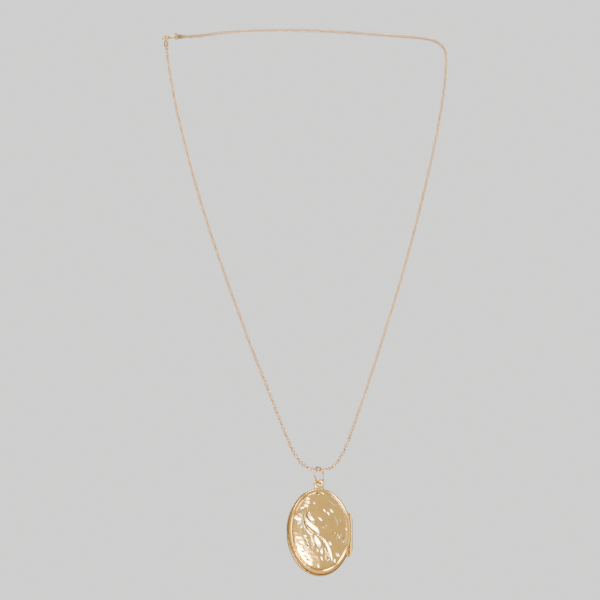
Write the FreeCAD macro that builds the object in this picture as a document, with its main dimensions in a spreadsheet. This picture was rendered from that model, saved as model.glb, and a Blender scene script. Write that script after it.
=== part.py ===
import FreeCAD, Part
import math
import os

# Hinged oval locket on a chain, millimetres. +Z is up and -Y is the locket's front.
# The origin lies in the neck loop of the chain, above the locket.

Vec = FreeCAD.Vector
os.makedirs("parts", exist_ok=True)
doc = FreeCAD.newDocument("locket")

# ---------------------------------------------------------------- driving sizes
SIZES = [
    ("cover_half_width", 11.7), ("cover_half_height", 16.2),
    ("rim_half_width", 12.05), ("rim_half_height", 16.55),
    ("seam_half_gap", 0.025), ("wall", 0.45),
    ("lip_wall", 0.35), ("lip_clearance", 0.09), ("lip_reach", 0.7), ("lip_flange", 0.5),
    ("lip_ledge_end", 0.8), ("ledge_width", 1.0),
    ("frame_width", 1.25), ("fit_gap", 0.06),
    ("hinge_x", 11.62), ("knuckle_radius", 0.8), ("hinge_clearance", 0.06),
    ("pin_radius", 0.28), ("pin_clearance", 0.03), ("knuckle_gap", 0.05),
    ("hinge_top", 7.5), ("middle_top", 1.75), ("middle_bottom", -3.15), ("hinge_bottom", -8.9),
    ("pin_top", 6.0), ("pin_bottom", -6.6),
    ("eye_ring_radius", 1.42), ("eye_band", 0.62), ("eye_half_thickness", 0.32), ("eye_setback", 0.38),
    ("eye_height", 18.3),
    ("pendant_ring_radius", 3.0), ("pendant_wire", 0.31), ("pendant_turn", 43.0),
    ("chain_radius", 0.75), ("contact_gap", 0.03),
    ("clasp_radius", 2.75), ("clasp_tube", 0.5), ("clasp_bore", 0.34), ("clasp_wire", 0.31),
    ("link_ring_wire", 0.22), ("cap_radius", 0.85), ("cap_length", 1.4),
]
sheet = doc.addObject("Spreadsheet::Sheet", "sizes")
for row, (alias, value) in enumerate(SIZES, start=1):
    sheet.set("A%d" % row, alias)
    sheet.set("B%d" % row, str(value))
    sheet.setAlias("B%d" % row, alias)
doc.recompute()
S = dict(SIZES)

# ---------------------------------------------------------------- small helpers
# An ellipse drawn with its long axis along Z, its short axis along X and facing Y.
FACING_Y = FreeCAD.Rotation(Vec(1, 1, 1), 240)


def named(kind, name):
    """A new object whose label is its name."""
    item = doc.addObject(kind, name)
    item.Label = name
    return item


def bind(item, **expressions):
    """Tie properties to expressions; a dot in a property path is written as two underscores."""
    for path, expression in expressions.items():
        item.setExpression(path.replace("__", "."), expression)


def oval_stack(name, sections, half_width, half_height):
    """Solid through ovals, each given as (y expression, inset from the outline)."""
    ovals = []
    for number, (depth, inset) in enumerate(sections):
        oval = named("Part::Ellipse", "%s_oval_%d" % (name, number))
        oval.Placement = FreeCAD.Placement(Vec(), FACING_Y)
        bind(oval, MajorRadius="%s - (%s)" % (half_height, inset),
             MinorRadius="%s - (%s)" % (half_width, inset), Placement__Base__y=str(depth))
        ovals.append(oval)
    stack = named("Part::Loft", name)
    stack.Sections = ovals
    stack.Solid = True
    stack.Ruled = True
    return stack


def cylinder(name, radius, low, high, x="0 mm", y="0 mm"):
    """Upright cylinder between two heights, all sizes as expressions."""
    item = named("Part::Cylinder", name)
    bind(item, Radius=radius, Height="(%s) - (%s)" % (high, low),
         Placement__Base__x=x, Placement__Base__y=y, Placement__Base__z=low)
    return item


def box(name, corner, length):
    item = named("Part::Box", name)
    item.Length, item.Width, item.Height = length
    item.Placement = FreeCAD.Placement(Vec(*corner), FreeCAD.Rotation())
    return item


def cut(name, base, tool):
    item = named("Part::Cut", name)
    item.Base, item.Tool = base, tool
    return item


def fuse(name, *shapes):
    item = named("Part::MultiFuse", name)
    item.Shapes = list(shapes)
    return item


def common(name, *shapes):
    item = named("Part::MultiCommon", name)
    item.Shapes = list(shapes)
    return item


def torus(name, ring, wire, centre, normal):
    """Ring of round wire about a centre, facing along a normal."""
    item = named("Part::Torus", name)
    bind(item, Radius1=ring, Radius2=wire)
    item.Placement = FreeCAD.Placement(centre, FreeCAD.Rotation(Vec(0, 0, 1), normal))
    return item


# ---------------------------------------------------------------- locket shells
# Profiles as (distance from the seam, inset): wall, rounded border, groove, domed field.
COVER_PROFILE = [(0.00, 0.07), (0.10, 0.0), (1.00, 0.0), (1.28, 0.07), (1.55, 0.25), (1.76, 0.52),
                 (1.90, 0.85), (1.95, 1.18), (1.92, 1.36), (1.80, 1.48), (1.93, 1.62),
                 (2.12, 2.6), (2.36, 4.2), (2.58, 6.2), (2.73, 8.4), (2.80, 10.6)]
COVER_HOLLOW = [(-0.20, 0.45), (1.00, 0.45), (1.22, 0.75), (1.40, 1.25), (1.45, 1.7),
                (1.68, 2.9), (1.92, 4.5), (2.14, 6.5), (2.28, 8.6), (2.34, 10.6)]
REAR_PROFILE = [(0.00, 0.07), (0.10, 0.0), (1.15, 0.0), (1.45, 0.08), (1.74, 0.30), (1.96, 0.65),
                (2.10, 1.1), (2.28, 2.0), (2.50, 3.6), (2.70, 5.6), (2.86, 8.0), (2.93, 10.9)]
REAR_HOLLOW = [(-0.20, 0.45), (1.15, 0.45), (1.40, 0.75), (1.58, 1.2), (1.80, 2.2),
               (2.03, 3.9), (2.22, 5.9), (2.37, 8.2), (2.44, 10.9)]


def profile(rows, side):
    """Section rows on one side of the seam: -1 is the front cover, +1 the rear case."""
    return [("%g * (%g mm + sizes.seam_half_gap * 1 mm)" % (side, depth), "%g" % inset)
            for depth, inset in rows]


cover_size = ("sizes.cover_half_width", "sizes.cover_half_height")
rim_size = ("sizes.rim_half_width", "sizes.rim_half_height")
cover_outer = oval_stack("cover_outer", profile(COVER_PROFILE, -1), *cover_size)
cover_inner = oval_stack("cover_inner", profile(COVER_HOLLOW, -1), *cover_size)
rear_outer = oval_stack("rear_outer", profile(REAR_PROFILE, 1), *rim_size)
rear_inner = oval_stack("rear_inner", profile(REAR_HOLLOW, 1), *rim_size)
cover_shell = cut("cover_shell", cover_outer, cover_inner)
rear_shell = cut("rear_shell", rear_outer, rear_inner)

# Clearance round the hinge: a close cut where a shell carries a knuckle, a wider one elsewhere.
X_HINGE = "sizes.hinge_x * 1 mm"
WIDE = "sizes.knuckle_radius + sizes.hinge_clearance"
MIDDLE_LOW = "sizes.middle_bottom - sizes.knuckle_gap"
MIDDLE_HIGH = "sizes.middle_top + sizes.knuckle_gap"
HINGE_LOW = "sizes.hinge_bottom - sizes.knuckle_gap"
HINGE_HIGH = "sizes.hinge_top + sizes.knuckle_gap"
cover_gap_top = cylinder("cover_gap_top", WIDE, "sizes.middle_top", HINGE_HIGH, X_HINGE)
cover_gap_low = cylinder("cover_gap_low", WIDE, HINGE_LOW, "sizes.middle_bottom", X_HINGE)
cover_seat = cylinder("cover_seat", "sizes.knuckle_radius", "sizes.middle_bottom",
                      "sizes.middle_top", X_HINGE)
cover_relief = fuse("cover_relief", cover_gap_top, cover_gap_low, cover_seat)
rear_gap = cylinder("rear_gap", WIDE, MIDDLE_LOW, MIDDLE_HIGH, X_HINGE)
rear_seat_top = cylinder("rear_seat_top", "sizes.knuckle_radius", MIDDLE_HIGH,
                         "sizes.hinge_top", X_HINGE)
rear_seat_low = cylinder("rear_seat_low", "sizes.knuckle_radius", "sizes.hinge_bottom",
                         MIDDLE_LOW, X_HINGE)
rear_relief = fuse("rear_relief", rear_gap, rear_seat_top, rear_seat_low)

# Shallow thumbnail scoop in the rear rim, opposite the hinge.
scoop = named("Part::Sphere", "thumbnail_scoop")
scoop.Radius = 20
SCOOP_DEPTH = 0.27
scoop.Placement = FreeCAD.Placement(
    Vec(-S["rim_half_width"] - 20 + SCOOP_DEPTH, 0.3, -0.3), FreeCAD.Rotation())
# Flat on the rear rim beside the barrel, which lets the cover fold right back.
flat = box("hinge_flat", (11.8, 0.5, S["hinge_bottom"]), (1.0, 2.5, S["hinge_top"] - S["hinge_bottom"]))
rear_cutter = fuse("rear_cutter", rear_relief, scoop, flat)

front_cover = cut("front_cover", cover_shell, cover_relief)
rear_case = cut("rear_case", rear_shell, rear_cutter)

# ---------------------------------------------------------------- hinge
# The outer ends of the barrel are filed down to the oval: outline as (x, z) in the seam plane.
BARREL_OUTLINE = [(8.4, -8.9), (11.0, -8.9), (11.75, -8.1), (12.2, -7.0), (12.42, -5.8), (12.5, -5.0),
                  (12.5, 3.9), (12.42, 4.8), (12.2, 5.8), (11.85, 6.7), (11.2, 7.5), (8.4, 7.5)]
outline_sketch = named("Sketcher::SketchObject", "barrel_outline")
outline_sketch.Placement = FreeCAD.Placement(Vec(0, 2, 0), FreeCAD.Rotation(Vec(1, 0, 0), 90))
for start, end in zip(BARREL_OUTLINE, BARREL_OUTLINE[1:] + BARREL_OUTLINE[:1]):
    outline_sketch.addGeometry(Part.LineSegment(Vec(*start, 0), Vec(*end, 0)), False)
barrel_envelope = named("Part::Extrusion", "barrel_envelope")
barrel_envelope.Base = outline_sketch
barrel_envelope.DirMode = "Custom"
barrel_envelope.Dir = Vec(0, -1, 0)
barrel_envelope.LengthFwd = 4
barrel_envelope.Solid = True


def knuckle(name, low, high, bore, bearer_low_y, shell):
    """Barrel and the bearer that joins it to one shell, bored for the pin."""
    barrel = cylinder(name + "_barrel", "sizes.knuckle_radius", low, high, X_HINGE)
    block = named("Part::Box", name + "_block")
    block.Length, block.Width = 3.2, 0.72
    bind(block, Height="(%s) - (%s)" % (high, low), Placement__Base__z=low,
         Placement__Base__x="sizes.hinge_x * 1 mm - 3.2 mm", Placement__Base__y=bearer_low_y)
    bearer = cut(name + "_bearer", block, shell)
    raw = fuse(name + "_raw", barrel, bearer)
    trimmed = common(name + "_trimmed", raw, barrel_envelope)
    hole = cylinder(name + "_hole", bore, "sizes.pin_bottom", "sizes.pin_top", X_HINGE)
    return cut(name, trimmed, hole)


rear_knuckle_upper = knuckle("rear_knuckle_upper", MIDDLE_HIGH, "sizes.hinge_top",
                             "sizes.pin_radius", "0.04 mm", rear_outer)
rear_knuckle_lower = knuckle("rear_knuckle_lower", "sizes.hinge_bottom", MIDDLE_LOW,
                             "sizes.pin_radius", "0.04 mm", rear_outer)
cover_knuckle = knuckle("cover_knuckle", "sizes.middle_bottom", "sizes.middle_top",
                        "sizes.pin_radius + sizes.pin_clearance", "-0.76 mm", cover_outer)
hinge_pin = cylinder("hinge_pin", "sizes.pin_radius", "sizes.pin_bottom", "sizes.pin_top", X_HINGE)

# ---------------------------------------------------------------- inside the locket
LIP_OUTER = "sizes.rim_half_width - sizes.cover_half_width + sizes.wall + sizes.lip_clearance"
LIP_INNER = LIP_OUTER + " + sizes.lip_wall"
LIP_LEDGE = LIP_INNER + " + sizes.ledge_width"
lip_tip = oval_stack("lip_tip", [("-sizes.lip_reach * 1 mm", LIP_OUTER),
                                 ("0.05 mm", LIP_OUTER)], *rim_size)
lip_flange = oval_stack("lip_flange", [("0.05 mm", "sizes.wall"),
                                       ("sizes.lip_ledge_end * 1 mm", "sizes.wall")], *rim_size)
lip_bore = oval_stack("lip_bore", [("-1 mm", LIP_INNER),
                                   ("sizes.lip_flange * 1 mm", LIP_INNER)], *rim_size)
lip_window = oval_stack("lip_window", [("-1 mm", LIP_LEDGE), ("1 mm", LIP_LEDGE)], *rim_size)
lip_solid = fuse("lip_solid", lip_tip, lip_flange)
lip_hole = fuse("lip_hole", lip_bore, lip_window)
lip_ring = cut("lip_ring", lip_solid, lip_hole)
hinge_room = box("hinge_room", (9.2, -1.2, S["hinge_bottom"] - 0.4),
                 (4.0, 1.26, S["hinge_top"] - S["hinge_bottom"] + 0.8))
lip_relief = fuse("lip_relief", hinge_room, rear_relief)
closing_lip = cut("closing_lip", lip_ring, lip_relief)


def oval_plate(name, near, far, inset, size):
    return oval_stack(name, [("%g mm" % near, inset), ("%g mm" % far, inset)], *size)


def oval_frame(name, near, far, inset, width, size):
    """Flat oval ring that holds a picture."""
    outside = oval_plate(name + "_outside", near, far, inset, size)
    inside = oval_plate(name + "_inside", near - 0.1, far + 0.1, inset + " + " + width, size)
    return cut(name, outside, inside)


REAR_INSET = LIP_INNER + " + sizes.fit_gap"
FRONT_INSET = "0.78"
frame_notch = box("frame_notch", (10.3, -2.0, S["middle_bottom"] - 0.4), (2.0, 2.5, 5.7))
rear_frame = oval_frame("rear_frame", -0.42, 0.05, REAR_INSET, "sizes.frame_width", rim_size)
rear_window = oval_plate("rear_window", 0.05, 0.27, REAR_INSET, rim_size)
rear_photo = oval_plate("rear_photo", 0.27, 0.5, REAR_INSET, rim_size)
front_frame_ring = oval_frame("front_frame_ring", -1.0, -0.78, FRONT_INSET, "sizes.frame_width",
                              cover_size)
front_frame = cut("front_frame", front_frame_ring, frame_notch)
front_window = oval_plate("front_window", -1.2, -1.0, "1.3", cover_size)
front_photo = oval_plate("front_photo", -1.34, -1.2, "1.4", cover_size)

# ---------------------------------------------------------------- eye on top of the rear case
EYE_CENTRE = Vec(0, S["eye_setback"], S["eye_height"])
eye_section = named("Part::Ellipse", "eye_section")
bind(eye_section, MajorRadius="sizes.eye_band", MinorRadius="sizes.eye_half_thickness",
     Placement__Base__x="sizes.eye_ring_radius * 1 mm")
eye_ring = named("Part::Revolution", "eye_ring")
eye_ring.Source = eye_section
eye_ring.Axis, eye_ring.Base = Vec(0, 1, 0), Vec()
eye_ring.Angle = 360
eye_ring.Solid = True
eye_ring.Placement = FreeCAD.Placement(EYE_CENTRE, FreeCAD.Rotation())
foot = named("Part::Wedge", "eye_foot")
foot.Xmin, foot.Xmax, foot.Ymin, foot.Ymax, foot.Zmin, foot.Zmax = -2.05, 2.05, 15.8, 17.6, 0, 0.66
foot.X2min, foot.X2max, foot.Z2min, foot.Z2max = -1.55, 1.55, 0.06, 0.60
foot.Placement = FreeCAD.Placement(Vec(0, 0.71, 0), FreeCAD.Rotation(Vec(1, 0, 0), 90))
eye_raw = fuse("eye_raw", eye_ring, foot)
eye_hole = named("Part::Cylinder", "eye_hole")
bind(eye_hole, Radius="sizes.eye_ring_radius - sizes.eye_band")
eye_hole.Height = 2
eye_hole.Placement = FreeCAD.Placement(EYE_CENTRE + Vec(0, 1, 0), FreeCAD.Rotation(Vec(1, 0, 0), 90))
eye_open = cut("eye_open", eye_raw, eye_hole)
locket_eye = cut("locket_eye", eye_open, rear_outer)

# ---------------------------------------------------------------- chain route
FRONT_PLANE = -12.0
ROUTE = [
    (-58.5, -12.0, -4.0), (-57.1, -12.0, -15.2), (-53.4, -12.0, -34.2), (-44.4, -12.0, -69.1),
    (-28.7, -12.0, -114.3), (-19.8, -12.0, -137.1), (-14.7, -12.0, -150.5), (-9.5, -12.0, -163.5),
    (-4.3, -12.0, -169.1), (4.3, -12.0, -169.1), (9.2, -12.0, -162.6), (13.9, -12.0, -148.8),
    (20.8, -12.0, -128.1), (33.0, -12.0, -88.0), (42.8, -12.0, -48.2), (47.9, -12.0, -22.0),
    (49.6, -12.0, -7.7), (49.9, -12.0, 0.7), (47.9, -10.2, 5.3), (43.2, -6.0, 8.6),
    (33.9, 0.6, 11.6), (17.7, 5.8, 14.0), (0.1, 7.9, 14.7), (-17.7, 7.5, 13.4),
    (-33.9, 5.4, 10.6), (-45.3, 1.2, 6.3), (-51.9, -4.2, 3.6),
]
CHAIN_BOTTOM = -169.1
RUN_SHARE = 0.45
route = [Vec(*point) for point in ROUTE]
edges, radii, last = [], [], route[0]
for before, corner, after in zip(route, route[1:], route[2:]):
    incoming, outgoing = corner - before, after - corner
    turn = incoming.getAngle(outgoing)
    trim = RUN_SHARE * min(incoming.Length, outgoing.Length)
    radius = trim / math.tan(turn / 2)
    radii.append(radius)
    towards, away = Vec(incoming).normalize(), Vec(outgoing).normalize()
    start, end = corner - towards * trim, corner + away * trim
    inward = (away - towards).normalize()
    middle = corner + inward * (radius / math.cos(turn / 2) - radius)
    edges += [Part.LineSegment(last, start).toShape(), Part.Arc(start, middle, end).toShape()]
    last = end
edges.append(Part.LineSegment(last, route[-1]).toShape())
chain_wire = Part.Wire(edges)
section = Part.Wire(Part.makeCircle(S["chain_radius"], route[0], route[1] - route[0]))
chain_solid = chain_wire.makePipeShell([section], True, False)
chain = named("Part::Feature", "chain")
chain.Shape = chain_solid
print("chain length %.1f mm, tightest arcs %s mm" % (
    chain_wire.Length, ", ".join("%.1f" % r for r in sorted(radii)[:6])))
print("chain volume %.2f against section times length %.2f" % (
    chain_solid.Volume, math.pi * S["chain_radius"] ** 2 * chain_wire.Length))

# ---------------------------------------------------------------- pendant ring
turn = math.radians(S["pendant_turn"])
wire_reach = S["chain_radius"] + S["contact_gap"] + S["pendant_wire"]
ring_centre = Vec(0, FRONT_PLANE, CHAIN_BOTTOM + wire_reach - S["pendant_ring_radius"])
pendant_ring = torus("pendant_ring", "sizes.pendant_ring_radius", "sizes.pendant_wire",
                     ring_centre, Vec(math.cos(turn), -math.sin(turn), 0))
wire_bottom = ring_centre.z - S["pendant_ring_radius"]
eye_hole_radius = S["eye_ring_radius"] - S["eye_band"]
eye_z = wire_bottom - (eye_hole_radius - S["pendant_wire"] - S["contact_gap"])
LOCKET_PLACE = FreeCAD.Placement(
    Vec(0, FRONT_PLANE - S["eye_setback"], eye_z - S["eye_height"]), FreeCAD.Rotation())

# ---------------------------------------------------------------- spring ring clasp
CLASP_CENTRE = Vec(-55.9, -8.3, 1.5)
along = Vec(0.6, 0.7, 0.4).normalize()
facing = Vec(-0.22, -0.33, 0.92)
facing = (facing - along * facing.dot(along)).normalize()
across = facing.cross(along)
CLASP_PLACE = FreeCAD.Placement(CLASP_CENTRE, FreeCAD.Rotation(along, across, facing, "ZXY"))

GAP_START, GAP_END = 70.0, 104.0
BOLT_START, BOLT_END, KNOB_ANGLE, BOLT_TRAVEL = 64.0, 152.0, 118.0, 36.0


def arc_of_wire(name, wire, start, end):
    """Part of a ring of round wire, in the clasp's own plane."""
    item = named("Part::Torus", name)
    bind(item, Radius1="sizes.clasp_radius", Radius2=wire)
    item.Angle3 = end - start
    item.Placement = FreeCAD.Placement(Vec(), FreeCAD.Rotation(Vec(0, 0, 1), start))
    return item


clasp_tube = arc_of_wire("clasp_tube", "sizes.clasp_tube", GAP_END, GAP_START + 360)
bolt_tunnel = arc_of_wire("bolt_tunnel", "sizes.clasp_bore", BOLT_START - 2, BOLT_END + BOLT_TRAVEL + 3)
slot_sector = named("Part::Cylinder", "slot_sector")
slot_sector.Radius, slot_sector.Height = 4, 0.44
slot_sector.Angle = BOLT_TRAVEL + 10
slot_sector.Placement = FreeCAD.Placement(
    Vec(0, 0, -0.22), FreeCAD.Rotation(Vec(0, 0, 1), KNOB_ANGLE - 5))
slot_core = named("Part::Cylinder", "slot_core")
slot_core.Height = 1
bind(slot_core, Radius="sizes.clasp_radius")
slot_core.Placement = FreeCAD.Placement(Vec(0, 0, -0.5), FreeCAD.Rotation())
knob_slot = cut("knob_slot", slot_sector, slot_core)
clasp_hollow = fuse("clasp_hollow", bolt_tunnel, knob_slot)
clasp_ring = cut("clasp_ring", clasp_tube, clasp_hollow)
clasp_bolt = arc_of_wire("clasp_bolt", "sizes.clasp_wire", BOLT_START, BOLT_END)

outward = FreeCAD.Rotation(Vec(0, 0, 1), KNOB_ANGLE).multVec(Vec(1, 0, 0))
radial = FreeCAD.Rotation(Vec(0, 0, 1), outward)
knob_stem = named("Part::Cylinder", "knob_stem")
knob_stem.Radius, knob_stem.Height = 0.18, 0.75
knob_stem.Placement = FreeCAD.Placement(outward * 2.9, radial)
knob_head = named("Part::Ellipsoid", "knob_head")
knob_head.Radius1, knob_head.Radius2, knob_head.Radius3 = 0.24, 0.42, 0.52
knob_head.Placement = FreeCAD.Placement(outward * 3.66, radial)
knob_raw = fuse("knob_raw", knob_stem, knob_head)
clasp_trigger = cut("clasp_trigger", knob_raw, clasp_bolt)

EYELET_RING, EYELET_WIRE, EYELET_OFFSET = 0.75, 0.25, 3.95
eyelet_raw = named("Part::Torus", "eyelet_raw")
eyelet_raw.Radius1, eyelet_raw.Radius2 = EYELET_RING, EYELET_WIRE
eyelet_raw.Placement = FreeCAD.Placement(Vec(-EYELET_OFFSET, 0, 0), FreeCAD.Rotation())
clasp_eyelet = cut("clasp_eyelet", eyelet_raw, clasp_tube)

# ---------------------------------------------------------------- chain ends and link rings
CAP_EYE_RING, CAP_EYE_WIRE, CAP_EYE_RISE = 0.58, 0.18, 0.52
LINK_SLACK, EYE_SLACK = 0.03, 0.03


def square_to(direction, line):
    """The part of a direction at right angles to a line, of length one."""
    return (direction - line * direction.dot(line)).normalize()


def chain_end(side, end, direction, held_wire, held_radius, held_tangent):
    """Cup with a small eye on one end of the chain, and the ring that links it to a wire."""
    sleeve = named("Part::Cylinder", "end_sleeve_" + side)
    bind(sleeve, Radius="sizes.cap_radius", Height="sizes.cap_length")
    sleeve.Placement = FreeCAD.Placement(end, FreeCAD.Rotation(Vec(0, 0, 1), direction))
    eye_at = end + direction * (S["cap_length"] + CAP_EYE_RISE)
    line = (eye_at - held_wire).normalize()
    normal = square_to(held_tangent, line)
    eye = named("Part::Torus", "end_eye_" + side)
    eye.Radius1, eye.Radius2 = CAP_EYE_RING, CAP_EYE_WIRE
    eye.Placement = FreeCAD.Placement(eye_at, FreeCAD.Rotation(Vec(0, 0, 1), line.cross(normal)))
    cap = fuse("end_cap_" + side, sleeve, eye)
    reach = (eye_at - held_wire).Length
    radius = (reach + held_radius + S["link_ring_wire"] + LINK_SLACK + EYE_SLACK) / 2
    link = torus("end_ring_" + side, "%g" % radius, "sizes.link_ring_wire",
                 eye_at + line * (EYE_SLACK - radius), normal)
    print("link ring %s: %.2f mm radius" % (side, radius))
    return cap, link


eyelet_wire_at = CLASP_CENTRE - along * (EYELET_OFFSET + EYELET_RING)
tube_at = CLASP_CENTRE + along * S["clasp_radius"]
end_cap_front, end_ring_front = chain_end(
    "front", route[0], (route[0] - route[1]).normalize(), eyelet_wire_at, EYELET_WIRE, across)
end_cap_rear, end_ring_rear = chain_end(
    "rear", route[-1], (route[-1] - route[-2]).normalize(), tube_at, S["clasp_tube"], across)

# ---------------------------------------------------------------- place, check and write
doc.recompute()
print("locket centre at", LOCKET_PLACE.Base, "jump ring foot at", wire_bottom)
LOCKET_PARTS = [rear_case, front_cover, rear_knuckle_upper, rear_knuckle_lower, cover_knuckle,
                hinge_pin, closing_lip, rear_frame, rear_window, rear_photo, front_frame,
                front_window, front_photo, locket_eye]
CLASP_PARTS = [clasp_ring, clasp_bolt, clasp_trigger, clasp_eyelet]
OTHER_PARTS = [chain, end_cap_front, end_cap_rear, end_ring_front, end_ring_rear, pendant_ring]

for item in doc.Objects:
    if "Invalid" in item.State or "Error" in item.State:
        raise RuntimeError("%s did not build: %s" % (item.Label, item.State))

shapes = {}
for group, place in ((LOCKET_PARTS, LOCKET_PLACE), (CLASP_PARTS, CLASP_PLACE), (OTHER_PARTS, None)):
    for item in group:
        node = named("Part::Feature", "node_" + item.Label)
        shape = item.Shape.copy()
        if place is not None:
            shape.Placement = place.multiply(shape.Placement)
        node.Shape = shape
        node.Label = item.Label + "_placed"
        if shape.isNull() or not shape.isValid() or shape.Volume <= 0:
            raise RuntimeError("%s has no valid solid" % item.Label)
        shapes[item.Label] = shape
        shape.exportStep("parts/%s.step" % item.Label)
        print("%-20s %8.3f mm3, %d solid" % (item.Label, shape.Volume, len(shape.Solids)))
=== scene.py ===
import math

import bmesh
import bpy
import numpy as np
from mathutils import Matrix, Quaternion, Vector


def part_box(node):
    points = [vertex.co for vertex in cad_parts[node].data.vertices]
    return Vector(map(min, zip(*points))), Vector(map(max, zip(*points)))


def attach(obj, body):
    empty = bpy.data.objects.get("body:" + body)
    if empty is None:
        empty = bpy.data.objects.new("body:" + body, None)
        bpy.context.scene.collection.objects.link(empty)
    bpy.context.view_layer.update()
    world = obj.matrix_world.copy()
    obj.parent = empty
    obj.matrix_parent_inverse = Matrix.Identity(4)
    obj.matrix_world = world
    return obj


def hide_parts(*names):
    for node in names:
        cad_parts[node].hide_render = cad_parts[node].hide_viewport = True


# Oval locket on a twisted chain. The scene is in metres, +Z up, with the locket's front toward -Y.
# Sizes in the lists below are millimetres.
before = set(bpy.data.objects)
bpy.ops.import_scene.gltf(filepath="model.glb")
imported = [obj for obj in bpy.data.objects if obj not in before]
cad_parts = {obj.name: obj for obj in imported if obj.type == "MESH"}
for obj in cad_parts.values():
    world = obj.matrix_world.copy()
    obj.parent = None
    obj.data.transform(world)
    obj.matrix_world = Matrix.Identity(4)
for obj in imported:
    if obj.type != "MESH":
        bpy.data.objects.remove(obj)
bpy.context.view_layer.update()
MM = 0.001
rng = np.random.default_rng(7)
scene = bpy.context.scene


# ---------------------------------------------------------------- camera
CAMERA_AZIMUTH, CAMERA_ELEVATION = math.radians(-9.22), math.radians(-19.05)
CAMERA_DISTANCE = 1.526
CAMERA_AIM = Vector((-0.0071, -0.012, -0.1031))
CAMERA_LENS, SENSOR_WIDTH = 245, 36
toward_camera = Vector((math.sin(CAMERA_AZIMUTH) * math.cos(CAMERA_ELEVATION),
                        -math.cos(CAMERA_AZIMUTH) * math.cos(CAMERA_ELEVATION),
                        math.sin(CAMERA_ELEVATION)))
camera_data = bpy.data.cameras.new("camera")
camera_data.lens, camera_data.sensor_width = CAMERA_LENS, SENSOR_WIDTH
camera_data.clip_start, camera_data.clip_end = 0.01, 20
camera = bpy.data.objects.new("camera", camera_data)
scene.collection.objects.link(camera)
camera.location = CAMERA_AIM + toward_camera * CAMERA_DISTANCE
camera.rotation_mode = "QUATERNION"
camera.rotation_quaternion = (-toward_camera).to_track_quat("-Z", "Y")
scene.camera = camera


# ---------------------------------------------------------------- mesh helpers
WELD_DISTANCE = 1e-7


def finished_object(name, mesh):
    """Object from a mesh, with doubled points merged and faces turned outward."""
    work = bmesh.new()
    work.from_mesh(mesh)
    bmesh.ops.remove_doubles(work, verts=work.verts, dist=WELD_DISTANCE)
    bmesh.ops.recalc_face_normals(work, faces=work.faces)
    work.to_mesh(mesh)
    work.free()
    mesh.polygons.foreach_set("use_smooth", [True] * len(mesh.polygons))
    item = bpy.data.objects.new(name, mesh)
    scene.collection.objects.link(item)
    return item


def band(first, second, count):
    """Quads between two closed rows of points given by their first indices."""
    return [(first + i, first + (i + 1) % count, second + (i + 1) % count, second + i)
            for i in range(count)]


def catmull(points, steps):
    """Smooth curve through points; steps is the number of pieces in each span."""
    points = np.asarray(points, float)
    padded = np.vstack([2 * points[0] - points[1], points, 2 * points[-1] - points[-2]])
    out = []
    for i in range(len(points) - 1):
        a, b, c, d = padded[i:i + 4]
        t = np.linspace(0, 1, steps[i], endpoint=False)[:, None]
        out.append(0.5 * (2 * b + (c - a) * t + (2 * a - 5 * b + 4 * c - d) * t ** 2
                          + (3 * b - a - 3 * c + d) * t ** 3))
    return np.vstack(out + [points[-1:]])


# ---------------------------------------------------------------- materials
def node_material(name):
    """New material with its nodes, its links and its main shader."""
    material = bpy.data.materials.new(name)
    material.use_nodes = True
    nodes, links = material.node_tree.nodes, material.node_tree.links
    return material, nodes, links, nodes["Principled BSDF"]


def add_noise(nodes, links, place, scale, detail):
    """Output of a noise texture over the given coordinates."""
    noise = nodes.new("ShaderNodeTexNoise")
    noise.inputs["Scale"].default_value = scale
    noise.inputs["Detail"].default_value = detail
    links.new(place, noise.inputs["Vector"])
    return noise.outputs["Fac"]


def add_ramp(nodes, links, value, ends, low, high):
    """Output of a ramp from one colour to another between two values."""
    ramp = nodes.new("ShaderNodeValToRGB")
    first, last = ramp.color_ramp.elements
    first.position, last.position = ends
    first.color, last.color = (*low, 1), (*high, 1)
    links.new(value, ramp.inputs["Fac"])
    return ramp.outputs["Color"]


def add_range(nodes, links, value, source, target):
    """Output that carries a value from one range of numbers to another."""
    change = nodes.new("ShaderNodeMapRange")
    change.inputs["From Min"].default_value, change.inputs["From Max"].default_value = source
    change.inputs["To Min"].default_value, change.inputs["To Max"].default_value = target
    links.new(value, change.inputs["Value"])
    return change.outputs["Result"]


def add_bump(nodes, links, height, distance_mm, shader):
    """Surface relief on a shader."""
    bumps = nodes.new("ShaderNodeBump")
    bumps.inputs["Strength"].default_value = BUMP_STRENGTH
    bumps.inputs["Distance"].default_value = distance_mm * MM
    links.new(height, bumps.inputs["Height"])
    links.new(bumps.outputs["Normal"], shader.inputs["Normal"])


BUMP_STRENGTH = 0.5
MIDDLE_OF_NOISE = (0.3, 0.7)
CLOUD_SCALE = 240
HAIRLINE_TURN, HAIRLINE_STRETCH = math.radians(38), 0.12


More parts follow.
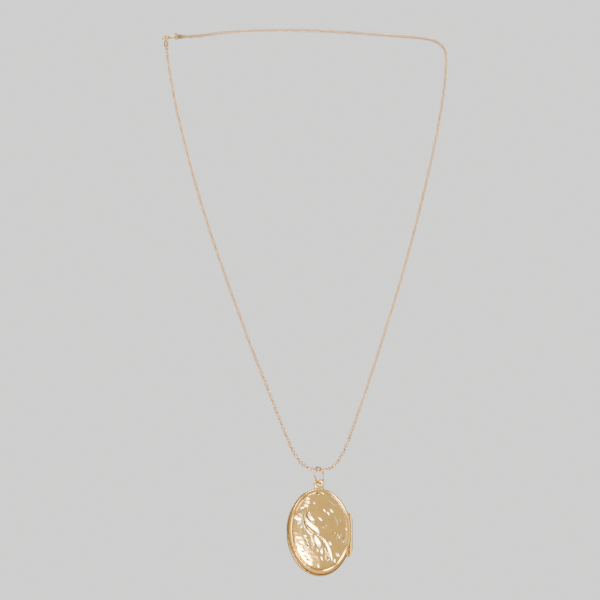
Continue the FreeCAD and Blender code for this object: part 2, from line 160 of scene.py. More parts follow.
def gold(name, colour, roughness, grain_mm=0.25, bump=0.02, tint=0.06, masks=False):
    """Gold with fine wear: a slow colour shift, and hairlines in the roughness and the bump."""
    material, nodes, links, shader = node_material(name)
    shader.inputs["Metallic"].default_value = 1.0
    where = nodes.new("ShaderNodeTexCoord").outputs["Object"]
    cloud = add_noise(nodes, links, where, CLOUD_SCALE, 4)
    stretch = nodes.new("ShaderNodeMapping")
    stretch.inputs["Rotation"].default_value = (0, HAIRLINE_TURN, 0)
    stretch.inputs["Scale"].default_value = (1, 1, HAIRLINE_STRETCH)
    links.new(where, stretch.inputs["Vector"])
    grain = add_noise(nodes, links, stretch.outputs["Vector"], 1 / (grain_mm * MM), 3)
    colour_out = add_ramp(nodes, links, cloud, MIDDLE_OF_NOISE, [c * (1 - tint) for c in colour],
                          [min(1, c * (1 + tint)) for c in colour])
    rough_out = add_range(nodes, links, grain, MIDDLE_OF_NOISE, (roughness * 0.85, roughness * 1.2))
    add_bump(nodes, links, grain, bump, shader)

    # Masks: bright cuts get a rougher finish and a paler colour that is a painted highlight; the other
    # mask paints shade.
    if masks:
        cut = nodes.new("ShaderNodeAttribute")
        cut.attribute_name = "cut_gloss_and_highlight"
        smooth = nodes.new("ShaderNodeMix")
        links.new(cut.outputs["Fac"], smooth.inputs["Factor"])
        links.new(rough_out, smooth.inputs["A"])
        smooth.inputs["B"].default_value = CUT_ROUGHNESS
        rough_out = smooth.outputs["Result"]
        # Painted shade: grooves, the border line, the wall by the seam and the rear ledge turn brown.
        painted_shade = nodes.new("ShaderNodeAttribute")
        painted_shade.attribute_name = "painted_shade"
        for mask, tone in ((cut, CUT_HIGHLIGHT_GOLD), (painted_shade, PAINTED_SHADE_BROWN)):
            blend = nodes.new("ShaderNodeMix")
            blend.data_type = "RGBA"
            links.new(mask.outputs["Fac"], blend.inputs["Factor"])
            links.new(colour_out, blend.inputs["A"])
            blend.inputs["B"].default_value = (*tone, 1)
            colour_out = blend.outputs["Result"]
    links.new(colour_out, shader.inputs["Base Color"])
    links.new(rough_out, shader.inputs["Roughness"])
    return material


# Bright cuts are rougher than the field; their paler gold is a painted highlight.
CUT_ROUGHNESS = 0.25
CUT_HIGHLIGHT_GOLD = (0.99, 0.74, 0.38)
# Brown of the painted shade in grooves, by the seam and on the rear ledge.
PAINTED_SHADE_BROWN = (0.30, 0.17, 0.06)
CASE_GOLD = (0.98, 0.57, 0.14)
cover_gold = gold("cover_gold", CASE_GOLD, 0.12, grain_mm=0.3, bump=0.005, masks=True)
rear_gold = gold("rear_gold", CASE_GOLD, 0.2, bump=0.003, masks=True)
case_gold = gold("case_gold", CASE_GOLD, 0.2, bump=0.003)
fitting_gold = gold("fitting_gold", (0.97, 0.57, 0.20), 0.2, bump=0.004)
chain_gold = gold("chain_gold", (0.96, 0.57, 0.25), 0.24, bump=0.004, tint=0.1)
pin_metal = gold("pin_metal", (0.80, 0.62, 0.38), 0.3)


def noisy(name, low, high, scale, roughness, bump_mm, alpha=1.0):
    """Non-metal whose colour, roughness and surface vary a little with noise."""
    material, nodes, links, shader = node_material(name)
    shader.inputs["Alpha"].default_value = alpha
    where = nodes.new("ShaderNodeTexCoord").outputs["Object"]
    noise = add_noise(nodes, links, where, scale, 4)
    colour = add_ramp(nodes, links, noise, (0.35, 0.65), low, high)
    links.new(colour, shader.inputs["Base Color"])
    rough = add_range(nodes, links, noise, MIDDLE_OF_NOISE, (roughness * 0.8, roughness * 1.2))
    links.new(rough, shader.inputs["Roughness"])
    add_bump(nodes, links, noise, bump_mm, shader)
    return material


window_clear = noisy("window_clear", (0.80, 0.80, 0.78), (0.88, 0.88, 0.87), 160, 0.06, 0.0005, 0.16)
photo_card = noisy("photo_card", (0.74, 0.70, 0.62), (0.84, 0.81, 0.74), 5000, 0.75, 0.006)


# ---------------------------------------------------------------- the neck chain
# Control points of the chain's line, the same as in the CAD source.
ROUTE = [
    (-58.5, -12.0, -4.0), (-57.1, -12.0, -15.2), (-53.4, -12.0, -34.2), (-44.4, -12.0, -69.1),
    (-28.7, -12.0, -114.3), (-19.8, -12.0, -137.1), (-14.7, -12.0, -150.5), (-9.5, -12.0, -163.5),
    (-4.3, -12.0, -169.1), (4.3, -12.0, -169.1), (9.2, -12.0, -162.6), (13.9, -12.0, -148.8),
    (20.8, -12.0, -128.1), (33.0, -12.0, -88.0), (42.8, -12.0, -48.2), (47.9, -12.0, -22.0),
    (49.6, -12.0, -7.7), (49.9, -12.0, 0.7), (47.9, -10.2, 5.3), (43.2, -6.0, 8.6),
    (33.9, 0.6, 11.6), (17.7, 5.8, 14.0), (0.1, 7.9, 14.7), (-17.7, 7.5, 13.4),
    (-33.9, 5.4, 10.6), (-45.3, 1.2, 6.3), (-51.9, -4.2, 3.6),
]
route_curve = bpy.data.curves.new("chain_route", "CURVE")
route_curve.dimensions = "3D"
route_spline = route_curve.splines.new("NURBS")
route_spline.points.add(len(ROUTE) - 1)
for point, place in zip(route_spline.points, ROUTE):
    point.co = (*[c * MM for c in place], 1)
route_spline.order_u = 3
route_spline.use_endpoint_u = True
route_spline.resolution_u = 24
route_object = bpy.data.objects.new("chain_route", route_curve)
route_mesh = bpy.data.meshes.new_from_object(route_object)
route_points = [v.co.copy() for v in route_mesh.vertices]
bpy.data.meshes.remove(route_mesh)
bpy.data.objects.remove(route_object)

LINK_PITCH, LINK_HALF_LENGTH, LINK_HALF_WIDTH, LINK_WIRE = 1.2, 0.8, 0.55, 0.2
LINK_TURN, LINK_TWIST = math.radians(45), math.radians(-45)
RIBBON_HALF_THICKNESS = 0.46
ALONG_LINK, ROUND_WIRE = 18, 8


def line_frames(line, places):
    """Points, tangents and two steady cross directions at distances along a line."""
    line = np.asarray(line, float)
    steps = np.linalg.norm(np.diff(line, axis=0), axis=1)
    along = np.concatenate([[0], np.cumsum(steps)])
    at = np.stack([np.interp(places, along, line[:, k]) for k in range(3)], axis=1)
    tangent = np.gradient(at, axis=0)
    tangent /= np.linalg.norm(tangent, axis=1)[:, None]
    side = np.zeros_like(tangent)
    current = np.cross(tangent[0], (0, 0, 1.0))
    for i, t in enumerate(tangent):
        current = current - t * (current @ t)
        current /= np.linalg.norm(current)
        side[i] = current
    return at, tangent, side, np.cross(tangent, side)


def make_chain(line):
    """Interlinked oval links, each twisted and turned from the last, cut flat along the ribbon."""
    line = np.array([tuple(p) for p in line]) / MM
    total = np.linalg.norm(np.diff(line, axis=0), axis=1).sum()
    count = int(total / LINK_PITCH)
    pitch = total / count
    fine = np.linspace(0, total, 8 * count + 1)
    at, tangent, side, up = line_frames(line, fine)
    phi = np.linspace(0, 2 * math.pi, ALONG_LINK, endpoint=False)
    psi = np.linspace(0, 2 * math.pi, ROUND_WIRE, endpoint=False)
    # A stadium-like oval: the long way along the chain, the short way across.
    squareness = 0.8
    reach_u = LINK_HALF_LENGTH * np.sign(np.cos(phi)) * np.abs(np.cos(phi)) ** squareness
    reach_v = LINK_HALF_WIDTH * np.sign(np.sin(phi)) * np.abs(np.sin(phi)) ** squareness
    path = np.stack([reach_u, reach_v], axis=1)
    flow = np.roll(path, -1, axis=0) - np.roll(path, 1, axis=0)
    flow /= np.linalg.norm(flow, axis=1)[:, None]
    outward = np.stack([flow[:, 1], -flow[:, 0]], axis=1)
    u = path[:, None, 0] + LINK_WIRE * np.cos(psi) * outward[:, None, 0]
    v = path[:, None, 1] + LINK_WIRE * np.cos(psi) * outward[:, None, 1]
    w = LINK_WIRE * np.sin(psi) + 0 * u
    points, faces = [], []
    for k in range(count):
        centre = (k + 0.5) * pitch
        plane = LINK_TURN * k + LINK_TWIST * u / (2 * LINK_HALF_LENGTH)
        ribbon = LINK_TURN * (k + u / pitch)
        turn = plane - ribbon
        across = v * np.cos(turn) - w * np.sin(turn)
        through = np.clip(v * np.sin(turn) + w * np.cos(turn),
                          -RIBBON_HALF_THICKNESS, RIBBON_HALF_THICKNESS)
        a = across * np.cos(ribbon) - through * np.sin(ribbon)
        b = across * np.sin(ribbon) + through * np.cos(ribbon)
        place = np.clip(centre + u, 0, total)
        here = [np.stack([np.interp(place, fine, part[:, i]) for i in range(3)], axis=-1)
                for part in (at, side, up)]
        points.append((here[0] + a[..., None] * here[1] + b[..., None] * here[2]).reshape(-1, 3))
        first = k * ALONG_LINK * ROUND_WIRE
        for i in range(ALONG_LINK):
            faces += band(first + i * ROUND_WIRE, first + (i + 1) % ALONG_LINK * ROUND_WIRE, ROUND_WIRE)
    mesh = bpy.data.meshes.new("chain_links")
    mesh.from_pydata((np.vstack(points) * MM).tolist(), [], faces)
    return finished_object("chain_links", mesh)


chain_links = make_chain(route_points)
chain_links.data.materials.append(chain_gold)
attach(chain_links, "neck_chain")
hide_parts("chain")

# ---------------------------------------------------------------- the locket's shells
cover_low, cover_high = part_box("front_cover")
rear_low, rear_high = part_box("rear_case")
SEAM_Y = (cover_high.y + rear_low.y) / 2 / MM
SEAM_GAP = (rear_low.y - cover_high.y) / 2 / MM
LOCKET = np.array([0.0, SEAM_Y, (cover_low.z + cover_high.z) / 2 / MM])
COVER_SIZE = (-cover_low.x / MM, (cover_high.z - cover_low.z) / 2 / MM)
RIM_BORDER = 0.35
RIM_SIZE = (COVER_SIZE[0] + RIM_BORDER, COVER_SIZE[1] + RIM_BORDER)

# Rows of (distance from the seam, inset from the outline).
COVER_WALL = [(0.10, 0.44), (0.10, 0.27), (0.10, 0.10), (0.20, 0.01), (0.55, 0.0), (1.00, 0.0),
              (1.28, 0.07), (1.55, 0.24), (1.75, 0.43), (1.86, 0.62), (1.86, 0.80), (1.76, 1.08),
              (1.62, 1.40), (1.66, 1.48), (1.90, 1.56), (2.00, 1.76), (2.15, 2.6), (2.37, 4.2),
              (2.58, 6.2), (2.73, 8.4), (2.80, 10.6), (2.81, 11.66)]
COVER_HOLLOW = [(0.10, 0.45), (1.00, 0.45), (1.22, 0.75), (1.40, 1.25), (1.45, 1.7),
                (1.68, 2.9), (1.92, 4.5), (2.14, 6.5), (2.28, 8.6), (2.34, 10.6), (2.34, 11.6)]
REAR_WALL = [(0.00, 0.44), (0.00, 0.28), (0.00, 0.12), (0.03, 0.03), (0.10, 0.0), (0.5, 0.0),
             (1.15, 0.0), (1.45, 0.08), (1.74, 0.30), (1.96, 0.65), (2.10, 1.1), (2.28, 2.0),
             (2.50, 3.6), (2.70, 5.6), (2.86, 8.0), (2.93, 10.9), (2.935, 12.0)]
REAR_HOLLOW = [(0.00, 0.45), (1.15, 0.45), (1.40, 0.75), (1.58, 1.2), (1.80, 2.2),
               (2.03, 3.9), (2.22, 5.9), (2.37, 8.2), (2.44, 10.9), (2.44, 11.9)]
FIELD_INSET = 1.62
HINGE_X, BARREL_RADIUS, HINGE_CLEARANCE = 11.62, 0.8, 0.06
# Heights: where a shell fits close round its own knuckle, and where the walls give way to the barrel.
MIDDLE_SEAT, LOWER_SEAT = (-2.9, 1.5), (-8.9, -3.4)
HINGE_SPAN = (-9.12, 7.72)
HOLLOW_STEP = 0.6


def oval_rings(rows, size, side, count, step):
    """Grid of points over a dished oval surface, with each row's inset, in locket millimetres."""
    rows = np.array(rows)
    spans = np.abs(np.diff(rows, axis=0)).max(axis=1)
    line = catmull(rows, [max(2, math.ceil(s / step)) for s in spans])
    angle = np.linspace(0, 2 * math.pi, count, endpoint=False)
    inset = line[:, 1][:, None] + 0 * angle
    x = (size[0] - inset) * np.cos(angle)
    z = (size[1] - inset) * np.sin(angle)
    y = side * (line[:, 0][:, None] + SEAM_GAP) + 0 * angle
    return np.stack([x, y, z], axis=-1), inset


def across_oval(first, count):
    """Quads that close the narrow innermost oval from side to side."""
    quarter = count // 4
    faces = []
    for j in range(-quarter, quarter):
        quad = [j % count, (j + 1) % count, (count // 2 - j - 1) % count, (count // 2 - j) % count]
        faces.append(tuple(first + q for q in dict.fromkeys(quad)))
    return faces


def hinge_relief(points, side, seat):
    """Moves the wall out of the hinge barrel; seat is the barrel span that this shell carries."""
    x, y, z = points[..., 0], points[..., 1], points[..., 2]
    radius = np.where((z > seat[0]) & (z < seat[1]), BARREL_RADIUS, BARREL_RADIUS + HINGE_CLEARANCE)
    reach = np.sqrt(np.maximum(radius ** 2 - (x - HINGE_X) ** 2, 0))
    inside = (z > HINGE_SPAN[0]) & (z < HINGE_SPAN[1]) & (side * y < reach)
    points[..., 1] = np.where(inside, side * reach, y)


def shell_faces(outer_rows, inner_rows, count):
    """Faces of a closed shell: outer grid, inner grid, the rim between them, both middles."""
    faces = []
    for r in range(outer_rows - 1):
        faces += band(r * count, (r + 1) * count, count)
    inner = outer_rows * count
    for r in range(inner_rows - 1):
        faces += band(inner + r * count, inner + (r + 1) * count, count)
    faces += band(0, inner, count)
    faces += across_oval((outer_rows - 1) * count, count)
    faces += across_oval(inner + (inner_rows - 1) * count, count)
    return faces


# ---------------------------------------------------------------- the engraved front cover
# Cuts as (kind, widest mm, depth mm, fullest part of the length, points x, z on the cover).
# "line" is a narrow even-sided groove; "leaf" is a tilted bright cut, deep on its lower left side.
# A line comes out LINE_GAIN times as wide as listed, and a cut up to FAINT_DEPTH half as deep.
CUTS = [
    # the long curl and the stem below it
    ("line", 0.50, 0.20, 0.5, [(-5.6, 7.6), (-5.9, 5.6), (-5.6, 3.4), (-4.6, 1.2), (-2.9, -0.6),
                               (-0.9, -1.5), (1.1, -2.3)]),
    ("line", 0.50, 0.20, 0.5, [(0.4, -2.2), (1.5, -3.9), (2.4, -5.7), (3.1, -7.5), (3.5, -9.8)]),
    ("leaf", 1.05, 0.17, 0.6, [(0.6, -1.9), (1.6, -3.0), (2.9, -5.0), (3.8, -6.9), (4.4, -8.8),
                               (4.7, -11.0)]),
    ("line", 0.55, 0.22, 0.5, [(-3.9, 9.1), (-4.6, 8.0), (-4.9, 6.8), (-4.6, 5.3), (-3.7, 3.9),
                               (-2.5, 3.1), (-1.2, 3.3)]),
    ("leaf", 1.90, 0.24, 0.7, [(-5.2, 6.9), (-5.0, 4.9), (-4.0, 2.9), (-2.4, 1.5), (-1.0, 0.3),
                               (-0.1, -1.3)]),
    ("leaf", 1.50, 0.20, 0.45, [(-3.7, 7.1), (-3.7, 5.6), (-2.9, 4.5), (-1.8, 3.9)]),
    # fronds at the upper left
    ("leaf", 0.80, 0.14, 0.5, [(-5.5, 11.6), (-4.4, 12.1), (-3.3, 11.9)]),
    ("leaf", 1.00, 0.16, 0.5, [(-5.5, 10.3), (-4.4, 10.7), (-3.3, 10.2)]),
    ("line", 0.45, 0.16, 0.5, [(-5.9, 10.6), (-4.8, 11.4), (-3.2, 11.0)]),
    ("leaf", 0.90, 0.16, 0.5, [(-6.0, 8.9), (-5.0, 9.4), (-3.9, 9.2)]),
    ("line", 0.40, 0.14, 0.5, [(-5.9, 9.6), (-5.0, 10.0), (-4.2, 9.7)]),
    ("leaf", 0.70, 0.12, 0.5, [(-7.2, 8.1), (-6.4, 8.5), (-5.4, 8.6)]),
    ("leaf", 0.55, 0.08, 0.5, [(-7.9, 9.4), (-7.2, 10.3), (-6.3, 11.0)]),
    ("leaf", 0.45, 0.07, 0.5, [(-8.6, 7.6), (-7.9, 8.6), (-7.3, 9.0)]),
    # the pointed leaf at the left
    ("leaf", 1.30, 0.18, 0.7, [(-9.2, 5.0), (-8.2, 4.4), (-6.3, 4.2)]),
    ("leaf", 0.80, 0.15, 0.5, [(-7.5, 6.6), (-6.8, 5.6), (-6.2, 4.6)]),
    ("line", 0.40, 0.18, 0.5, [(-9.3, 5.4), (-8.1, 5.1), (-7.4, 5.2), (-6.7, 5.9)]),
    ("leaf", 1.10, 0.17, 0.4, [(-8.1, 2.2), (-7.1, 3.2), (-6.1, 4.0)]),
    ("line", 0.35, 0.16, 0.5, [(-7.2, 2.0), (-6.7, 2.9), (-6.5, 3.5)]),
    ("leaf", 1.00, 0.16, 0.4, [(-7.1, 0.8), (-6.3, 1.9), (-5.9, 3.2)]),
    ("leaf", 0.80, 0.16, 0.5, [(-6.2, 7.2), (-6.4, 5.0), (-6.1, 3.0), (-5.2, 1.0), (-3.9, -0.7),
                               (-2.2, -1.6)]),
    # leaves hanging from the curl
    ("leaf", 2.00, 0.24, 0.7, [(-1.9, -1.3), (-1.1, -3.0), (-0.4, -4.6), (-0.1, -6.3)]),
    ("line", 0.45, 0.20, 0.5, [(-2.1, -2.0), (-1.9, -3.5), (-1.3, -4.8), (-1.0, -6.1)]),
    ("leaf", 0.85, 0.17, 0.6, [(-3.2, -1.3), (-2.8, -3.0), (-2.4, -4.8), (-2.7, -6.7)]),
    ("leaf", 0.70, 0.15, 0.5, [(-1.0, -6.5), (-0.8, -7.1), (-0.6, -7.7)]),
    ("leaf", 1.10, 0.18, 0.6, [(1.2, -5.8), (0.6, -6.9), (1.0, -8.2)]),
    ("leaf", 0.85, 0.16, 0.5, [(0.5, -9.0), (0.7, -9.7), (1.1, -10.4)]),
    ("leaf", 0.95, 0.15, 0.5, [(-0.7, -11.5), (-0.6, -12.2), (-0.2, -13.0)]),
    # loops inside the stem
    ("line", 0.45, 0.17, 0.5, [(1.9, -5.9), (2.0, -7.5), (2.1, -9.2), (2.6, -10.6)]),
    ("line", 0.45, 0.18, 0.5, [(2.6, -6.4), (2.7, -8.0), (3.1, -9.3), (3.6, -8.9), (3.5, -7.6)]),
    ("leaf", 0.60, 0.13, 0.5, [(2.9, -6.2), (3.2, -7.4), (3.2, -8.5)]),
    ("leaf", 1.00, 0.15, 0.5, [(1.9, -10.6), (2.7, -10.1), (3.7, -9.9)]),
    ("leaf", 0.80, 0.15, 0.5, [(3.3, -3.3), (3.8, -4.0), (4.4, -4.8)]),
    ("line", 0.35, 0.14, 0.5, [(3.1, -3.7), (3.6, -4.5), (4.2, -5.1)]),
    ("leaf", 0.70, 0.14, 0.5, [(6.8, -7.4), (7.0, -8.2), (7.2, -8.9)]),
    ("leaf", 0.75, 0.14, 0.5, [(5.6, -9.4), (5.6, -10.2), (5.9, -11.0)]),
    ("line", 0.35, 0.12, 0.5, [(5.9, -6.9), (6.3, -7.9), (6.5, -8.9)]),
    # the small curl flower at the lower left
    ("line", 0.45, 0.17, 0.5, [(-6.7, -2.3), (-6.3, -3.2), (-5.3, -3.0), (-4.8, -3.9), (-4.9, -4.9),
                               (-5.6, -5.7)]),
    ("line", 0.40, 0.16, 0.5, [(-4.9, -4.6), (-4.4, -5.0), (-4.0, -5.7)]),
    ("leaf", 0.95, 0.15, 0.5, [(-6.1, -2.3), (-5.4, -1.9), (-4.7, -2.1)]),
    ("leaf", 0.80, 0.15, 0.5, [(-5.0, -3.2), (-4.6, -4.0), (-4.5, -4.7)]),
    ("leaf", 0.60, 0.12, 0.5, [(-6.0, -4.4), (-5.7, -5.4), (-6.0, -6.3)]),
    ("leaf", 0.90, 0.15, 0.5, [(-5.7, -6.6), (-5.0, -6.8), (-4.3, -6.5)]),
    ("line", 0.40, 0.16, 0.5, [(-6.6, -6.9), (-6.0, -7.3), (-5.2, -7.5)]),
    ("line", 0.40, 0.16, 0.5, [(-4.9, -9.8), (-4.1, -10.3), (-3.2, -10.6)]),
    ("line", 0.35, 0.12, 0.5, [(-5.5, -8.4), (-4.7, -9.2), (-3.8, -9.4)]),
    # leaves at the right
    ("leaf", 1.00, 0.16, 0.5, [(5.9, -2.3), (7.2, -1.6), (8.4, -0.3)]),
    ("line", 0.35, 0.13, 0.5, [(5.5, -2.0), (6.5, -0.9), (7.9, 0.3)]),
    ("leaf", 0.90, 0.15, 0.5, [(7.9, -3.8), (9.0, -3.1), (9.8, -1.9)]),
    ("line", 0.35, 0.13, 0.5, [(7.6, -3.2), (8.6, -2.3), (9.3, -1.2)]),
    ("leaf", 0.70, 0.14, 0.5, [(9.7, 2.1), (10.0, 1.2), (10.5, 0.5)]),
    ("line", 0.35, 0.12, 0.5, [(4.2, -0.6), (5.4, -0.2), (6.6, 0.4)]),
    # the open flower and its curl at the upper right
    ("leaf", 0.60, 0.14, 0.5, [(1.6, 8.3), (1.8, 7.7), (2.3, 7.1)]),
    ("leaf", 0.80, 0.15, 0.5, [(2.8, 7.4), (3.2, 6.8), (3.7, 6.2)]),
    ("leaf", 0.75, 0.15, 0.5, [(3.9, 8.6), (4.5, 7.8), (5.2, 6.9)]),
    ("line", 0.35, 0.12, 0.5, [(3.6, 8.2), (4.1, 7.4), (4.7, 6.7)]),
    ("line", 0.35, 0.10, 0.5, [(3.0, 6.0), (3.2, 5.0), (4.0, 4.4), (4.9, 4.7), (5.0, 5.6)]),
    ("leaf", 0.55, 0.10, 0.5, [(5.2, 6.1), (6.1, 5.0), (6.6, 3.5), (6.3, 1.8)]),
    ("line", 0.35, 0.10, 0.5, [(7.2, 6.3), (7.9, 4.6), (7.9, 2.9)]),
    ("leaf", 0.65, 0.13, 0.5, [(-0.7, 5.1), (0.2, 4.5), (1.0, 3.7)]),
    ("leaf", 0.70, 0.12, 0.5, [(-2.4, 10.3), (-2.0, 10.4), (-1.5, 10.1)]),
    ("leaf", 0.50, 0.09, 0.5, [(2.8, 12.3), (3.8, 11.3), (5.1, 10.3), (6.4, 10.0), (7.4, 10.3)]),
    ("line", 0.35, 0.09, 0.5, [(-0.6, 10.0), (0.4, 10.7), (1.5, 10.6)]),
    ("line", 0.35, 0.09, 0.5, [(0.0, 2.2), (1.3, 2.6), (2.5, 2.0), (3.1, 0.9)]),
    ("line", 0.35, 0.08, 0.5, [(0.7, 0.4), (1.8, 0.7), (2.9, 0.2)]),
    ("leaf", 0.45, 0.08, 0.5, [(0.3, 1.4), (1.4, 1.6), (2.2, 1.1)]),
    ("line", 0.35, 0.08, 0.5, [(3.5, 2.6), (4.6, 2.2), (5.0, 1.0)]),
    ("line", 0.35, 0.08, 0.5, [(-1.0, 7.6), (0.0, 8.3), (0.4, 9.2)]),
    # the small slot at the top of the field
    ("line", 0.60, 0.30, 0.5, [(-2.0, 13.75), (0.0, 14.25), (2.1, 13.85)]),
]
CUT_STEP = 0.12
LINE_GAIN = 1.3
FAINT_DEPTH = 0.1
LEAF_EDGE = 0.62
LOWER_LEFT = np.array([-0.79, -0.62])
# The pattern is drawn as the camera sees it; this lays it square on the domed field.
PATTERN_SHIFT, PATTERN_STRETCH = np.array([-0.38, -0.63]), np.array([1.014, 1.04])


def engrave(x, z):
    """Depth of the cuts, how much bright-cut gloss and painted highlight each place gets, and how much
    painted shade, at points on the cover.
    """
    depth, bright, dark = np.zeros(len(x)), np.zeros(len(x)), np.zeros(len(x))
    for kind, width, deepest, fullest, points in CUTS:
        deepest = deepest if deepest > FAINT_DEPTH else deepest / 2
        points = (np.array(points) + PATTERN_SHIFT) * PATTERN_STRETCH
        spans = np.linalg.norm(np.diff(points, axis=0), axis=1)
        line = catmull(points, [max(2, math.ceil(s / CUT_STEP)) for s in spans])
        near = ((x > line[:, 0].min() - width) & (x < line[:, 0].max() + width)
                & (z > line[:, 1].min() - width) & (z < line[:, 1].max() + width))
        where = np.nonzero(near)[0]
        here = np.stack([x[where], z[where]], axis=1)
        start, run = line[:-1], np.diff(line, axis=0)
        length = np.linalg.norm(run, axis=1)
        offset = here[:, None, :] - start[None]
        share = np.clip((offset * run).sum(-1) / length ** 2, 0, 1)
        away = offset - share[..., None] * run
        distance = np.linalg.norm(away, axis=-1)
        closest = distance.argmin(axis=1)
        rows = np.arange(len(where))
        along = np.concatenate([[0], np.cumsum(length)])
        t = (along[closest] + share[rows, closest] * length[closest]) / along[-1]
        swell = np.where(t < fullest, t / fullest, (1 - t) / (1 - fullest))
        swell = np.sin(np.clip(swell, 0, 1) * math.pi / 2) ** 0.8
        half = np.maximum((width if kind == "leaf" else LINE_GAIN * width) / 2 * swell, 1e-6)
        q = np.clip(distance[rows, closest] / half, 0, 1)
        if kind == "leaf":
            flow = run[closest] / length[closest][:, None]
            flank = np.stack([-flow[:, 1], flow[:, 0]], axis=1)
            flank *= np.where(flank @ LOWER_LEFT < 0, -1, 1)[:, None]
            signed = np.sign((away[rows, closest] * flank).sum(-1)) * q
            rising = np.clip((signed + 1) / (LEAF_EDGE + 1), 0, 1) ** 1.5
            form = np.where(signed < LEAF_EDGE, rising, (1 - signed) / (1 - LEAF_EDGE))
            form = np.where(q >= 1, 0, form)
        else:
            form = 1 - q
        cut = deepest * swell * form
        depth[where] = np.maximum(depth[where], cut)
        # Leaves get a painted highlight, with painted shade on their steep far wall; lines get painted
        # shade along the groove.
        if kind == "leaf":
            bright[where] = np.maximum(bright[where], np.clip((1 - q) * 4, 0, 1))
            steep = np.clip((signed - 0.55) * 4, 0, 1) * (q < 1)
            dark[where] = np.maximum(dark[where], 0.7 * steep * swell * deepest / 0.2)
        else:
            shade = np.clip(form * 2.2, 0, 1) * swell * min(1, deepest / 0.16)
            dark[where] = np.maximum(dark[where], shade)
    return depth, bright * (1 - np.clip(dark, 0, 1)), np.clip(dark, 0, 1)


COVER_SEGMENTS, COVER_STEP = 624, 0.114
FIELD_WAVE, WAVE_COUNT, WAVE_LENGTHS = 0.003, 14, (1.4, 4.0)
# Painted shade: a dark line where the border meets the field, and shade low on the wall beside the
# seam, most at the left.
RIM_LINE_INSET, RIM_LINE_WIDTH, RIM_LINE_SHADE = 1.47, 0.08, 0.7
WALL_SHADE_TOP, WALL_SHADE_FADE, WALL_SHADE_INSET, WALL_SHADE_STRENGTH = 1.25, 0.4, 0.3, 0.95
WALL_SHADE_LEFT, WALL_SHADE_LEAST = 5, 0.25
outer, inset = oval_rings(COVER_WALL, COVER_SIZE, -1, COVER_SEGMENTS, COVER_STEP)
field = inset > FIELD_INSET + 0.02
cut_depth, cut_gloss_highlight, cut_painted_shade = (np.zeros(inset.shape) for _ in range(3))
cut_depth[field], cut_gloss_highlight[field], cut_painted_shade[field] = engrave(outer[..., 0][field],
                                                               outer[..., 2][field])
wave_length = rng.uniform(*WAVE_LENGTHS, WAVE_COUNT)
wave_turn, wave_start = rng.uniform(0, 2 * math.pi, (2, WAVE_COUNT))
for size, turn, start in zip(wave_length, wave_turn, wave_start):
    ridge = outer[..., 0] * math.cos(turn) + outer[..., 2] * math.sin(turn)
    cut_depth += FIELD_WAVE * np.cos(2 * math.pi * ridge / size + start) * field
rim_line = RIM_LINE_SHADE * np.exp(-((inset - RIM_LINE_INSET) / RIM_LINE_WIDTH) ** 2)
outer[..., 1] += cut_depth
inner, _ = oval_rings(COVER_HOLLOW, COVER_SIZE, -1, COVER_SEGMENTS, HOLLOW_STEP)
for grid in (outer, inner):
    hinge_relief(grid, -1, MIDDLE_SEAT)
wall_depth = -outer[..., 1] - SEAM_GAP
wall_shade = (WALL_SHADE_STRENGTH * np.clip((WALL_SHADE_TOP - wall_depth) / WALL_SHADE_FADE, 0, 1)
           * (inset < WALL_SHADE_INSET)
           * np.clip(-outer[..., 0] / WALL_SHADE_LEFT, WALL_SHADE_LEAST, 1))
masks = {"cut_gloss_and_highlight": cut_gloss_highlight,
         "painted_shade": np.maximum(np.maximum(cut_painted_shade, rim_line), wall_shade)}


def shell(name, outer, inner, masks=None):
    """One closed shell from its outer and inner grids; masks are values on the outer grid."""
    count = outer.shape[1]
    points = np.vstack([outer.reshape(-1, 3), inner.reshape(-1, 3)]) + LOCKET
    mesh = bpy.data.meshes.new(name)
    mesh.from_pydata((points * MM).tolist(), [], shell_faces(len(outer), len(inner), count))
    for mask, values in (masks or {}).items():
        layer = mesh.attributes.new(mask, "FLOAT", "POINT")
        padded = np.concatenate([values.ravel(), np.zeros(inner.shape[0] * count)])
        layer.data.foreach_set("value", padded.astype(np.float32))
    return finished_object(name, mesh)


cover = shell("engraved_cover", outer, inner, masks)
cover.data.materials.append(cover_gold)
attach(cover, "cover")
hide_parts("front_cover")

# ---------------------------------------------------------------- the rear case
# The thumbnail scoop is a shallow bite out of the left of the rim by a large ball.
SCOOP_RADIUS, SCOOP_DEPTH = 20, 0.27
SCOOP_CENTRE = (-RIM_SIZE[0] - SCOOP_RADIUS + SCOOP_DEPTH, 0.3, -0.3)
# Beside the hinge the rear rim goes no further right than this.
HINGE_FLAT_X = 11.78
# The ledge that faces the cover gets painted shade, from its outer edge inward.
LEDGE_ROWS, LEDGE_START, LEDGE_FADE, LEDGE_SHADE = 7, 0.03, 0.08, 0.9
REAR_SEGMENTS, REAR_STEP = 384, 0.25
outer, inset = oval_rings(REAR_WALL, RIM_SIZE, 1, REAR_SEGMENTS, REAR_STEP)
inner, _ = oval_rings(REAR_HOLLOW, RIM_SIZE, 1, REAR_SEGMENTS, HOLLOW_STEP)
dy, dz = outer[..., 1] - SCOOP_CENTRE[1], outer[..., 2] - SCOOP_CENTRE[2]
scooped = SCOOP_CENTRE[0] + np.sqrt(np.maximum(SCOOP_RADIUS ** 2 - dy ** 2 - dz ** 2, 0))
outer[..., 0] = np.where(outer[..., 0] < scooped, scooped, outer[..., 0])
beside_hinge = ((outer[..., 2] > HINGE_SPAN[0]) & (outer[..., 2] < HINGE_SPAN[1])
                & (outer[..., 0] > HINGE_FLAT_X))
outer[..., 0] = np.where(beside_hinge, HINGE_FLAT_X, outer[..., 0])
for grid in (outer, inner):
    hinge_relief(grid, 1, LOWER_SEAT)
on_ledge = (np.arange(len(inset)) < LEDGE_ROWS)[:, None]
ledge = np.clip((inset - LEDGE_START) / LEDGE_FADE, 0, 1) * on_ledge
rear = shell("rear_shell", outer, inner, {"painted_shade": LEDGE_SHADE * ledge})
rear.data.materials.append(rear_gold)
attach(rear, "locket")
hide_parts("rear_case")

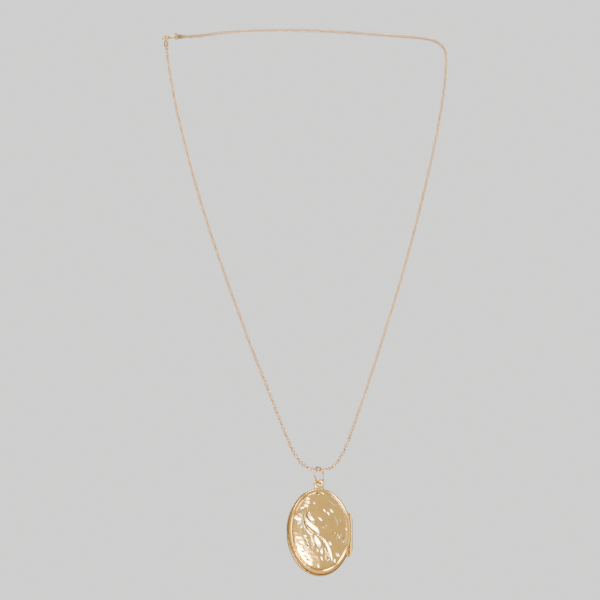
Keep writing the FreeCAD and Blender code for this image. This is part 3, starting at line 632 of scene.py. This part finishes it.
# ---------------------------------------------------------------- CAD parts that keep their shape
for name, material in {
    "locket_eye": fitting_gold, "rear_knuckle_upper": case_gold, "rear_knuckle_lower": case_gold,
    "cover_knuckle": case_gold, "hinge_pin": pin_metal, "closing_lip": case_gold,
    "rear_frame": fitting_gold, "front_frame": fitting_gold, "pendant_ring": fitting_gold,
    "end_cap_front": fitting_gold, "end_cap_rear": fitting_gold, "end_ring_front": fitting_gold,
    "end_ring_rear": fitting_gold, "clasp_ring": fitting_gold, "clasp_eyelet": fitting_gold,
    "clasp_bolt": fitting_gold, "clasp_trigger": fitting_gold,
    "rear_window": window_clear, "front_window": window_clear,
    "rear_photo": photo_card, "front_photo": photo_card,
}.items():
    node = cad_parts[name]
    node.data.materials.clear()
    node.data.materials.append(material)

SOFT_END = 0.15
for name in ("rear_knuckle_upper", "cover_knuckle", "rear_knuckle_lower"):
    soft_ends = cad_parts[name].modifiers.new("soft_ends", "BEVEL")
    soft_ends.width, soft_ends.segments = SOFT_END * MM, 3
    soft_ends.limit_method, soft_ends.angle_limit = "ANGLE", math.radians(50)


# ---------------------------------------------------------------- floor and light
def plain(name, colour, roughness):
    """Material of one even colour."""
    material, _, _, shader = node_material(name)
    shader.inputs["Base Color"].default_value = (*colour, 1)
    shader.inputs["Roughness"].default_value = roughness
    return material


FLOOR_Z, FLOOR_HALF = -0.75, 6
floor_mesh = bpy.data.meshes.new("floor")
corners = [(x * FLOOR_HALF, y * FLOOR_HALF, FLOOR_Z) for x, y in ((-1, -1), (1, -1), (1, 1), (-1, 1))]
floor_mesh.from_pydata(corners, [], [(0, 1, 2, 3)])
floor = bpy.data.objects.new("floor", floor_mesh)
scene.collection.objects.link(floor)
floor_mesh.materials.append(plain("floor_pale", (0.86, 0.85, 0.83), 0.8))

BACKDROP_STRENGTH = 1.7
# The room lights the locket more from the front, toward -Y, than from behind.
ROOM_DIRECTIONS, ROOM_STRENGTHS = (-0.3, 0.6), (1.15, 0.4)
world = bpy.data.worlds.new("studio")
scene.world = world
world.use_nodes = True
sky = world.node_tree
backdrop = sky.nodes["Background"]
backdrop.inputs["Color"].default_value = (0.80, 0.80, 0.79, 1)
backdrop.inputs["Strength"].default_value = BACKDROP_STRENGTH
room = sky.nodes.new("ShaderNodeBackground")
room.inputs["Color"].default_value = (0.80, 0.78, 0.74, 1)
facing = sky.nodes.new("ShaderNodeTexCoord")
parts = sky.nodes.new("ShaderNodeSeparateXYZ")
sky.links.new(facing.outputs["Generated"], parts.inputs["Vector"])
brightness = add_range(sky.nodes, sky.links, parts.outputs["Y"], ROOM_DIRECTIONS, ROOM_STRENGTHS)
sky.links.new(brightness, room.inputs["Strength"])
seen = sky.nodes.new("ShaderNodeLightPath")
either = sky.nodes.new("ShaderNodeMixShader")
sky.links.new(seen.outputs["Is Camera Ray"], either.inputs["Fac"])
sky.links.new(room.outputs["Background"], either.inputs[1])
sky.links.new(backdrop.outputs["Background"], either.inputs[2])
sky.links.new(either.outputs["Shader"], sky.nodes["World Output"].inputs["Surface"])


def softbox(name, place, aim, size, power, shape="DISK", roll=0.0):
    """Area light that faces a point and doesn't show in the picture."""
    light = bpy.data.lights.new(name, "AREA")
    light.shape, light.size, light.energy = shape, size, power
    item = bpy.data.objects.new(name, light)
    scene.collection.objects.link(item)
    item.location = place
    item.rotation_mode = "QUATERNION"
    item.rotation_quaternion = ((Vector(aim) - Vector(place)).to_track_quat("-Z", "Y")
                                @ Quaternion((0, 0, 1), math.radians(roll)))
    item.visible_camera = False


locket_middle = Vector(LOCKET) * MM


def from_locket(azimuth, elevation, distance):
    """Place seen from the locket's middle at angles in degrees and a distance in metres."""
    a, e = math.radians(azimuth), math.radians(elevation)
    return locket_middle + distance * Vector(
        (math.sin(a) * math.cos(e), -math.cos(a) * math.cos(e), math.sin(e)))


softbox("window_light", from_locket(-9, 1, 1.0), locket_middle, 0.26, 8, "SQUARE", 35)
softbox("ceiling_light", from_locket(-6, 53, 1.2), locket_middle, 0.34, 6)
softbox("wall_light", from_locket(-29, 37, 1.2), locket_middle, 0.32, 4.5)
softbox("side_light", from_locket(50, 16, 1.1), locket_middle, 0.36, 1.5)
